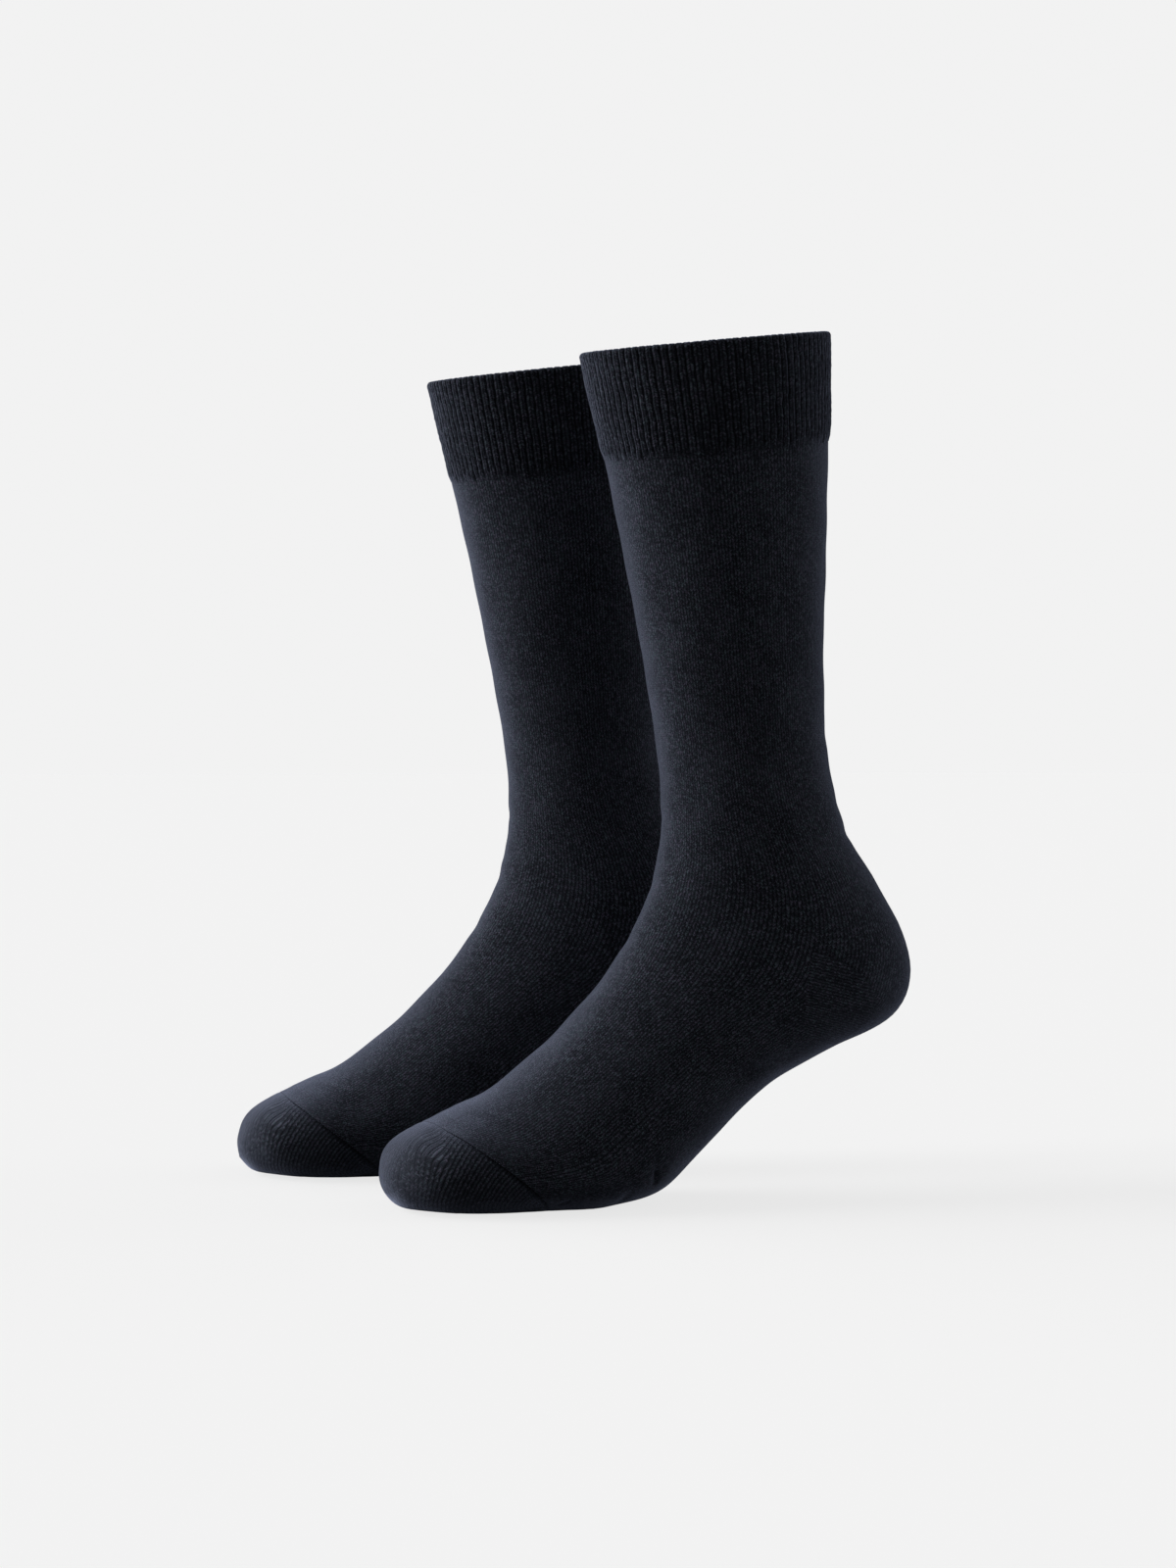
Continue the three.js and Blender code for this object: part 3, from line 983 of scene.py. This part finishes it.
@dataclass
class StitchTree:
    """Sets a row of small stitches along a path, such as a linked seam."""

    # The shortest and the longest stitch, as shares of the stated length.
    LENGTHS = (0.8, 1.15)

    name: str = "seam stitches"

    def tree(self) -> bpy.types.NodeTree:
        """Builds the tree once.

        Returns:
            A Geometry Nodes tree from a path of edges to a row of stitches.
        """
        if self.name in bpy.data.node_groups:
            return bpy.data.node_groups[self.name]
        number = "NodeSocketFloat"
        graph, io = open_group(
            self.name,
            {
                "Geometry": ("NodeSocketGeometry", None),
                "Pitch": (number, 1.2 * MM),
                "Stitch length": (number, 1.1 * MM),
                "Stitch width": (number, 0.5 * MM),
                "Seed": ("NodeSocketInt", SEED),
                "Material": ("NodeSocketMaterial", None),
            },
            {"Geometry": "NodeSocketGeometry"},
            "GeometryNodeTree",
        )
        path = graph.node("GeometryNodeMeshToCurve", {"Mesh": io["Geometry"]})
        spaced = graph.node(
            "GeometryNodeResampleCurve", {"Curve": path.outputs[0], "Length": io["Pitch"]}, mode="LENGTH"
        )
        ball = graph.node("GeometryNodeMeshUVSphere", {"Segments": 6, "Rings": 4, "Radius": 0.5})
        stitch = graph.node("GeometryNodeSetShadeSmooth", {"Geometry": ball.outputs["Mesh"]})
        out = graph.node("GeometryNodeInputNamedAttribute", {"Name": "out"}, data_type="FLOAT_VECTOR")
        tangent = graph.node("GeometryNodeInputTangent")
        turned = graph.node(
            "FunctionNodeAxesToRotation",
            {"Primary Axis": out.outputs[0], "Secondary Axis": tangent.outputs[0]},
            primary_axis="Z",
            secondary_axis="X",
        )
        vary = graph.node("FunctionNodeRandomValue", {"Seed": io["Seed"]}, data_type="FLOAT")
        vary.inputs[2].default_value, vary.inputs[3].default_value = self.LENGTHS
        length = graph.math("MULTIPLY", io["Stitch length"], vary.outputs[1])
        size = graph.node("ShaderNodeCombineXYZ", {0: length, 1: io["Stitch width"], 2: io["Stitch width"]})
        row = graph.node(
            "GeometryNodeInstanceOnPoints",
            {
                "Points": spaced.outputs[0],
                "Instance": stitch.outputs[0],
                "Rotation": turned.outputs[0],
                "Scale": size.outputs[0],
            },
        )
        finish_tree(graph, io, row.outputs[0])
        return graph.tree


def run_tree(piece: bpy.types.Object, tree: bpy.types.NodeTree, values: dict[str, object]) -> None:
    """Runs a Geometry Nodes tree on a piece and keeps its result as plain mesh.

    Args:
        piece: The object whose mesh goes in.
        tree: The tree.
        values: Values by input name; the rest keep the tree's own.
    """
    modifier = piece.modifiers.new(tree.name, "NODES")
    modifier.node_group = tree
    for item in tree.interface.items_tree:
        if item.item_type == "SOCKET" and item.in_out == "INPUT" and item.name in values:
            modifier[item.identifier] = values[item.name]
    bake(piece)


@dataclass
class RibbedCuff:
    """The doubled one by one rib at the top, turned over at the rim."""

    # Share of a rib's pitch, and how many wales that is from the rib's middle: the raised wale is the wider.
    PHASES = (0.0, 0.375, 0.5, 0.625, 1.0)
    WALE_COUNTS = (0.0, 0.5, 1.0, 1.5, 2.0)
    # The rim's row, the ribs' shares over the rim, and the two loops that close the lower edge.
    RIM_ROW = 0.05
    RIM_SHARES = (0.75, 0.3)
    LOW_HEIGHTS = (-1.6, -0.5)
    LOW_SHARES = (0.1, 0.2)
    # How unevenly the ribs end, over how many rows they fade, and what is left of them past their end.
    END_WANDER = 0.05
    END_FADE = 0.1
    END_SHARE = 0.2
    # The row that gives the rim's upward direction, and a nudge that puts each column in its own rib.
    UPWARD_ROW = 0.1
    NUDGE = 1e-6

    place: Place
    wall: float = 2.3
    proud: float = 0.1
    outer_rows: int = 40
    inner_rows: int = 12
    rim_steps: int = 7
    rib_points: int = 8
    rib_end: float = 1.96
    rib_height: float = 0.75
    flat: tuple[float, float] = (0.22, 0.046)

    def profile(self) -> tuple[np.ndarray, np.ndarray, np.ndarray, np.ndarray]:
        """Gives the loop from the lower edge up the outside, over the rim and down the inside.

        Returns:
            Rows, heights over the form, rises past the row towards the rim, and shares of the ribs.
        """
        radius = (self.wall + self.proud) / 2
        top = self.RIM_ROW
        outer = np.linspace(CUFF_END, top, self.outer_rows)
        turn = np.linspace(0, np.pi, self.rim_steps)[1:-1]
        inner = np.linspace(top, CUFF_END, self.inner_rows)
        low = np.array([CUFF_END, CUFF_END])
        rows = np.concatenate([outer, np.full(len(turn), top), inner, low])
        middle = self.proud - radius
        heights = np.concatenate(
            [
                np.full(len(outer), self.proud),
                middle + radius * np.cos(turn),
                np.full(len(inner), -self.wall),
                self.LOW_HEIGHTS,
            ]
        )
        rises = np.concatenate([np.zeros(len(outer)), radius * np.sin(turn), np.zeros(len(inner) + 2)])
        over_rim = np.linspace(*self.RIM_SHARES, len(turn))
        inside = np.full(len(inner), self.RIM_SHARES[1])
        shares = np.concatenate([np.ones(len(outer)), over_rim, inside, self.LOW_SHARES])
        return rows, heights, rises, shares

    def build(self) -> bpy.types.Object:
        """Makes the cuff.

        Returns:
            The finished cuff.
        """
        rows, heights, rises, shares = self.profile()
        columns = np.linspace(0, 360, RIBS * self.rib_points + 1)[:-1]
        grid_rows, degrees = np.meshgrid(rows, columns, indexing="ij")
        points = cloth_points(grid_rows, degrees, heights[:, None])
        step = FORM.surface(0.0, columns) - FORM.surface(self.UPWARD_ROW, columns)
        upward = step / np.linalg.norm(step, axis=-1, keepdims=True)
        points = points + rises[:, None, None] * upward[None]
        sheet = SheetMesh()
        numbers = sheet.add(points)
        closed = np.concatenate([numbers, numbers[:1]])
        closed = np.concatenate([closed, closed[:, :1]], axis=1)
        phase, rib_count = np.modf(np.linspace(0, RIBS, len(columns) + 1) + self.NUDGE)
        within = np.interp(phase, self.PHASES, self.WALE_COUNTS)
        wales = np.tile(rib_count * 2 + 0.5 + within, (len(rows) + 1, 1))
        gaps = np.linalg.norm(np.diff(points[:, 0], axis=0, append=points[:1, 0]), axis=1)
        courses = np.tile((np.concatenate([[0], np.cumsum(gaps)]) / COURSE)[:, None], (1, len(columns) + 1))
        sheet.quads(closed[::-1], wales, courses[::-1])
        piece = sheet.build(f"{self.place.name}_ribbed_cuff", self.place)
        generator = np.random.default_rng(SEED)
        ends = self.rib_end + self.END_WANDER * generator.standard_normal(RIBS)
        rib = np.rint(columns * RIBS / 360).astype(int) % RIBS
        fade = np.clip((ends[rib][None] - rows[:, None]) / self.END_FADE, 0, 1)
        ribbed = shares[:, None] * (self.END_SHARE + (1 - self.END_SHARE) * fade)
        phases = np.tile(columns * RIBS / 360, (len(rows), 1))
        for name, values in (("rib_phase", phases), ("rib_share", ribbed)):
            piece.data.attributes.new(name, "FLOAT", "POINT").data.foreach_set("value", values.ravel())
        run_tree(piece, RibTree(self.rib_height).tree(), {"Material": RIBBED.material()})
        piece.data.set_sharp_from_angle(angle=math.radians(RIB_EDGE))
        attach(piece, "root")
        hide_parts(f"{self.place.name}_cuff")
        return piece


@dataclass
class SockBody:
    """The plain tube of leg and foot, open at the back for the heel pocket."""

    place: Place
    wall: float = 1.5
    leg_rows: int = 84
    foot_rows: int = 124
    front_steps: int = 96
    back_steps: int = 100
    flat: tuple[float, float] = (0.19, 0.37)

    def grid(self, start: np.ndarray, end: np.ndarray, steps: int) -> np.ndarray:
        """Gives the rows of a grid between two edges, one line for each step."""
        shares = np.linspace(0, 1, steps + 1)[:, None]
        return start[None] + (end - start)[None] * shares

    def build(self) -> bpy.types.Object:
        """Makes the tube.

        Returns:
            The finished body.
        """
        columns = cut_columns(self.front_steps, self.back_steps)
        leg = self.grid(np.full_like(columns, CUFF_END), heel_upper_edge(columns), self.leg_rows)
        foot = self.grid(heel_lower_edge(columns), toe_seam(columns), self.foot_rows)
        grids = (leg[:, :-1], foot[1:, :-1], foot[:1, :-1])
        parts = [(rows, np.tile(columns[:-1], (len(rows), 1))) for rows in grids]
        sheet = SheetMesh()
        leg_numbers, foot_numbers, top = (sheet.add(cloth_points(*part)) for part in parts)
        apexes = slice(self.back_steps, None)
        top[0, apexes] = leg_numbers[-1, apexes]
        top[0, 0] = leg_numbers[-1, 0]
        foot_numbers = np.concatenate([top, foot_numbers])
        for numbers, rows in ((leg_numbers, leg), (foot_numbers, foot)):
            closed = np.concatenate([numbers, numbers[:, :1]], axis=1)
            wales = np.tile(columns * WALES / 360, (len(rows), 1))
            sheet.quads(closed, wales, FORM.side_length(rows) / COURSE)
        # Painted shade inside the sharp folds.
        shades = np.concatenate([fold_shade(*part) for part in parts])
        piece = sheet.build(f"{self.place.name}_leg_and_foot", self.place, shades)
        drop_loose(piece)
        thicken(piece, self.wall)
        piece.data.materials.append(PLAIN.material())
        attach(piece, "root")
        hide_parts(f"{self.place.name}_leg", f"{self.place.name}_foot")
        return piece


def drop_loose(piece: bpy.types.Object) -> None:
    """Removes points that no face uses.

    Args:
        piece: The object to clean.
    """
    work = bmesh.new()
    work.from_mesh(piece.data)
    bmesh.ops.delete(work, geom=[v for v in work.verts if not v.link_faces], context="VERTS")
    work.to_mesh(piece.data)
    work.free()


@dataclass
class HeelPocket:
    """The short-row heel, whose upper and lower courses meet at a gore line on each side."""

    place: Place
    wall: float = 1.8
    steps: int = 24
    back_steps: int = SockBody.back_steps
    crowding: float = 1.5
    gore_dip: float = 0.3
    gore_width: float = 0.7
    gore_shade: float = 0.45
    gore_fade: float = 25.0
    wale_width: float = 1.35
    turn_length: float = 0.85
    flat: tuple[float, float] = (0.12, 0.085)

    def build(self) -> bpy.types.Object:
        """Makes the pocket.

        Returns:
            The finished pocket.
        """
        columns = cut_columns(2, self.back_steps)[: self.back_steps + 1]
        upper, lower = heel_upper_edge(columns), heel_lower_edge(columns)
        gore = np.clip(gore_line(columns), upper, lower)
        shares = 1 - (1 - np.linspace(0, 1, self.steps + 1)) ** self.crowding
        above = upper[None] + (gore - upper)[None] * shares[:, None]
        below = lower[None] + (gore - lower)[None] * shares[::-1, None]
        rows = np.concatenate([above, below[1:]])
        degrees = np.tile(columns, (len(rows), 1))
        lengths = FORM.side_length(rows)
        near_gore = np.exp(-((lengths - FORM.side_length(gore)[None]) / self.gore_width) ** 2)
        fading = np.clip((FULL_ANGLE - from_front(degrees)) / self.gore_fade, 0, 1)
        sheet = SheetMesh()
        numbers = sheet.add(cloth_points(rows, degrees, -self.gore_dip * near_gore * fading))
        half = self.steps
        sheet.quads(numbers[: half + 1], degrees[: half + 1] * WALES / 360, lengths[: half + 1] / COURSE)
        across = degrees[half:] * self.turn_length / COURSE
        sheet.quads(numbers[half:], lengths[half:] / self.wale_width, across)
        # The gore line's dip takes painted shade.
        piece = sheet.build(f"{self.place.name}_knit_heel", self.place, self.gore_shade * near_gore * fading)
        weld(piece)
        thicken(piece, self.wall)
        piece.data.materials.append(HEEL.material())
        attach(piece, "root")
        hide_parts(f"{self.place.name}_heel_pocket")
        return piece


def weld(piece: bpy.types.Object) -> None:
    """Joins points that lie on each other, such as those at the heel's apexes.

    Args:
        piece: The object to weld.
    """
    work = bmesh.new()
    work.from_mesh(piece.data)
    bmesh.ops.remove_doubles(work, verts=work.verts, dist=WELD_GAP * MM)
    work.to_mesh(piece.data)
    work.free()


@dataclass
class ToePocket:
    """The short-row toe, knitted round the toes and linked over their top.

    Its arcs run round the gore point on each side. The plain fields say where their lines are lost.
    """

    # Where the seam's dip ends round the side, in how many degrees, and how it grows from the toes' top.
    SEAM_END = 138.0
    SEAM_FADE = 14.0
    SEAM_GROWTH = 50.0
    SEAM_LEAST = 0.25

    place: Place
    wall: float = 1.8
    steps: int = 34
    turns: int = 132
    crowding: float = 1.25
    seam_dip: float = 0.75
    seam_width: float = 1.0
    # How deep and how wide the painted shade beside the seam is.
    seam_shade: float = 0.9
    shade_width: float = 0.9
    arc_pitch: float = 1.52
    arc_stretch: float = 1.13
    arc_reach: float = 53.0
    tip_start: float = 116.0
    tip_blend: float = 16.0
    arc_radius: float = 35.0
    tip_rise: float = 8.0
    plain_from: float = 120.0
    plain_blend: float = 12.0
    plain_turn: float = 36.0
    plain_fade: float = 26.0
    plain_share: float = 0.65
    # The even painted shade over the plain fields.
    plain_shade: float = 0.65
    gore: tuple[float, float] = (18.05, 124.0)
    flat: tuple[float, float] = (0.1, 0.085)

    def knit(self, rows: np.ndarray, degrees: np.ndarray) -> tuple[np.ndarray, np.ndarray]:
        """Gives the knit counts: wales arch round the seam's lower ends and run straight over the tip.

        Args:
            rows: Places along the sock.
            degrees: Angles round it.

        Returns:
            Wale and course counts.
        """
        place = FORM.surface(rows, from_front(degrees))
        away = place - FORM.surface(*self.gore)
        rise = away[..., 2].copy()
        to_tip = np.clip((-place[..., 0] - self.tip_start) / self.tip_blend, 0, 1)
        to_tip = to_tip**2 * (3 - 2 * to_tip)
        away[..., 0] = np.maximum(away[..., 0], -self.arc_reach) / self.arc_stretch
        away[..., 2] += (self.tip_rise - away[..., 2]) * to_tip
        wales = np.linalg.norm(away, axis=-1) / self.arc_pitch
        courses = (np.arctan2(away[..., 2], -away[..., 0]) * self.arc_radius + rise * to_tip) / COURSE
        return wales, courses

    def plainness(self, rows: np.ndarray, degrees: np.ndarray) -> np.ndarray:
        """Says how far the stretched knit's lines are lost, over the top of the toes and round their tip.

        Args:
            rows: Places along the sock.
            degrees: Angles round it.

        Returns:
            0 where the lines are clear, up to the plain share.
        """
        forward = -FORM.surface(rows, degrees)[..., 0]
        over_tip = np.clip((forward - self.plain_from) / self.plain_blend, 0, 1)
        over_top = np.clip((self.plain_turn - from_front(degrees)) / self.plain_fade, 0, 1)
        lost = np.maximum(over_tip, over_top)
        return self.plain_share * lost**2 * (3 - 2 * lost)

    def build(self) -> bpy.types.Object:
        """Makes the pocket.

        Returns:
            The finished pocket.
        """
        columns = np.linspace(-180, 180, self.turns + 1)
        shares = 1 - (1 - np.linspace(0, 1, self.steps + 1)) ** self.crowding
        seam = toe_seam(columns)
        rows = seam[None] + (TOE_TIP - seam)[None] * shares[:, None]
        degrees = np.tile(columns, (len(rows), 1))
        lengths = FORM.side_length(rows) - FORM.side_length(seam)[None]
        turned = from_front(degrees)
        linked = np.clip((self.SEAM_END - turned) / self.SEAM_FADE, 0, 1)
        linked = linked * np.clip(turned / self.SEAM_GROWTH, self.SEAM_LEAST, 1)
        dip = self.seam_dip * linked * np.exp(-((lengths / self.seam_width) ** 2))
        points = cloth_points(rows[:-1, :-1], degrees[:-1, :-1], -dip[:-1, :-1])
        sheet = SheetMesh()
        numbers = sheet.add(points)
        tip = sheet.add(FORM.surface(np.array([TOE_TIP]), np.array([0.0])))
        numbers = np.concatenate([numbers, numbers[:, :1]], axis=1)
        wales, courses = self.knit(rows, degrees)
        sheet.quads(numbers, wales[:-1], courses[:-1])
        ring = numbers[-1]
        last = np.stack([ring, np.full_like(ring, tip[0])])
        sheet.quads(last, wales[-2:], courses[-2:])
        lost = self.plainness(rows, degrees)
        # Painted shade in the seam's groove, and an even painted shade over the plain fields in place of the
        # furrows' painted shade lost there.
        beside_seam = self.seam_shade * linked * np.exp(-((lengths / self.shade_width) ** 2))
        shade = np.maximum(beside_seam, self.plain_shade * lost)
        shade = np.append(shade[:-1, :-1].ravel(), self.plain_shade * self.plain_share)
        piece = sheet.build(f"{self.place.name}_knit_toe", self.place, shade)
        plain = np.append(lost[:-1, :-1].ravel(), self.plain_share)
        piece.data.attributes.new(PLAIN_MAP, "FLOAT", "POINT").data.foreach_set("value", plain)
        weld(piece)
        thicken(piece, self.wall)
        piece.data.materials.append(TOE.material())
        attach(piece, "root")
        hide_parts(f"{self.place.name}_toe_pocket")
        return piece


@dataclass
class StitchedLine:
    """A row of small stitches sunk in the cloth, along a linked seam."""

    place: Place
    name: str
    rows: np.ndarray
    degrees: np.ndarray
    sunk: float
    pitch: float = 1.25
    length: float = 1.15
    width: float = 0.65

    def build(self) -> bpy.types.Object:
        """Makes the stitches.

        Returns:
            The finished row.
        """
        points = cloth_points(self.rows, self.degrees, -self.sunk)
        outward = self.place.put(points + FORM.outward(self.rows, self.degrees)) - self.place.put(points)
        mesh = bpy.data.meshes.new(self.name)
        edges = [(i, i + 1) for i in range(len(points) - 1)]
        mesh.from_pydata(self.place.put(points).tolist(), edges, [])
        out = mesh.attributes.new("out", "FLOAT_VECTOR", "POINT")
        out.data.foreach_set("vector", (outward / MM).ravel())
        piece = bpy.data.objects.new(f"{self.place.name}_{self.name}", mesh)
        bpy.context.scene.collection.objects.link(piece)
        sizes = {"Pitch": self.pitch * MM, "Stitch length": self.length * MM, "Stitch width": self.width * MM}
        run_tree(piece, StitchTree().tree(), {**sizes, "Material": THREAD.material()})
        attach(piece, "root")
        return piece


@dataclass
class Sock:
    """One sock of the pair with all its pieces."""

    place: Place
    seam_reach: float = 126.0
    seam_points: int = 90
    seam_depth: float = 0.4

    def build(self) -> list[bpy.types.Object]:
        """Makes the sock from the rim down.

        Returns:
            Its finished pieces.
        """
        pieces = [
            RibbedCuff(self.place).build(),
            SockBody(self.place).build(),
            HeelPocket(self.place).build(),
            ToePocket(self.place).build(),
        ]
        across = np.linspace(-self.seam_reach, self.seam_reach, self.seam_points)
        pieces.append(StitchedLine(self.place, "toe_seam", toe_seam(across), across, self.seam_depth).build())
        return pieces


@dataclass(frozen=True)
class SoftLight:
    """A large soft light, far away, at an angle from the camera's own direction."""

    name: str
    aside: float
    height: float
    strength: float
    softness: float
    tint: tuple[float, float, float] = (1.0, 1.0, 1.0)


@dataclass
class Studio:
    """The floor, the backdrop, the lights and the camera."""

    # The film's height in millimetres, how near and far the camera sees, and the floor's gap under the toes.
    SENSOR = 36.0
    CLIP = (0.05, 100.0)
    FLOOR_GAP = 0.0002

    azimuth: float = -20.0
    tilt: float = -0.505
    focal_pixels: float = 3404.76
    picture_height: float = 1600.0
    camera_place: tuple[float, float, float] = (-528.6, -1391.4, -170.4)
    backdrop: float = 0.887
    fill: float = 0.15
    floor_size: float = 60.0
    floor_grey: float = 0.15
    seen_grey: float = 0.2
    lights: tuple[SoftLight, ...] = (
        SoftLight("left_softbox", -96, 21, 2.8, 45),
        SoftLight("back_left_softbox", -140, 9, 1.7, 45),
        SoftLight("right_softbox", 118, 33, 0.42, 45),
        SoftLight("low_right_softbox", 95, 9, 0.3, 45),
    )

    def add_camera(self) -> None:
        """Sets the camera where the photograph was taken from."""
        data = bpy.data.cameras.new("camera")
        data.sensor_width = self.SENSOR
        data.lens = self.SENSOR * self.focal_pixels / self.picture_height
        data.clip_start, data.clip_end = self.CLIP
        camera = bpy.data.objects.new("camera", data)
        camera.location = Vector(self.camera_place) * MM
        turn, down = math.radians(self.azimuth), math.radians(self.tilt)
        ahead = Vector((-math.sin(turn), math.cos(turn), math.tan(down)))
        camera.rotation_mode = "QUATERNION"
        camera.rotation_quaternion = ahead.to_track_quat("-Z", "Y")
        bpy.context.scene.collection.objects.link(camera)
        bpy.context.scene.camera = camera

    def add_lights(self) -> None:
        """Adds the soft lights round the socks."""
        for light in self.lights:
            lamp = bpy.data.lights.new(light.name, "SUN")
            lamp.energy = light.strength
            lamp.angle = math.radians(light.softness)
            lamp.color = light.tint
            piece = bpy.data.objects.new(light.name, lamp)
            turn, high = math.radians(self.azimuth + light.aside), math.radians(light.height)
            level = math.cos(high)
            towards = Vector((math.sin(turn) * level, -math.cos(turn) * level, math.sin(high)))
            piece.rotation_mode = "QUATERNION"
            piece.rotation_quaternion = towards.to_track_quat("Z", "Y")
            bpy.context.scene.collection.objects.link(piece)

    def add_world(self) -> None:
        """Adds the even fill light, and the pale backdrop that the camera sees."""
        world = bpy.data.worlds.new("studio")
        world.use_nodes = True
        bpy.context.scene.world = world
        graph = Graph(world.node_tree)
        output = world.node_tree.nodes["World Output"]
        seen = graph.node("ShaderNodeBackground", {"Color": (self.backdrop,) * 3 + (1,)})
        fill = world.node_tree.nodes["Background"]
        fill.inputs["Color"].default_value = (self.fill,) * 3 + (1,)
        ray = graph.node("ShaderNodeLightPath").outputs["Is Camera Ray"]
        mixed = graph.node("ShaderNodeMixShader", {0: ray, 1: fill.outputs[0], 2: seen.outputs[0]})
        graph.link(mixed.outputs[0], output.inputs["Surface"])

    def add_floor(self) -> None:
        """Adds the pale floor, lit so that it meets the backdrop with no edge."""
        half = self.floor_size / 2
        level = -HOLD_HEIGHT * MM - self.FLOOR_GAP
        mesh = bpy.data.meshes.new("floor")
        corners = [(-half, -half, level), (half, -half, level), (half, half, level), (-half, half, level)]
        mesh.from_pydata(corners, [], [(0, 1, 2, 3)])
        floor = bpy.data.objects.new("floor", mesh)
        bpy.context.scene.collection.objects.link(floor)
        paint, graph, seen = new_material("pale floor")
        seen.inputs["Base Color"].default_value = (self.seen_grey,) * 3 + (1,)
        seen.inputs["Roughness"].default_value = 1.0
        seen.inputs["Specular IOR Level"].default_value = 0.0
        suns = sum(light.strength * math.sin(math.radians(light.height)) / math.pi for light in self.lights)
        glow = self.backdrop - self.seen_grey * (self.fill + suns)
        seen.inputs["Emission Color"].default_value = (1, 1, 1, 1)
        seen.inputs["Emission Strength"].default_value = max(glow, 0)
        bounce = graph.node("ShaderNodeBsdfDiffuse", {"Color": (self.floor_grey,) * 3 + (1,)})
        ray = graph.node("ShaderNodeLightPath").outputs["Is Camera Ray"]
        mixed = graph.node("ShaderNodeMixShader", {0: ray, 1: bounce.outputs[0], 2: seen.outputs[0]})
        graph.link(mixed.outputs[0], paint.node_tree.nodes["Material Output"].inputs["Surface"])
        mesh.materials.append(paint)

    def build(self) -> None:
        """Makes the whole studio."""
        bpy.context.scene.view_settings.view_transform = "Standard"
        self.add_camera()
        self.add_world()
        self.add_lights()
        self.add_floor()


def main() -> None:
    """Builds the studio and the socks, and reports each piece."""
    logging.basicConfig(level=logging.INFO, format="%(message)s")
    Studio().build()
    for place in PLACES:
        for piece in Sock(place).build():
            LOG.info("%s: %d faces", piece.name, len(piece.data.polygons))


if __name__ == "__main__":
    main()
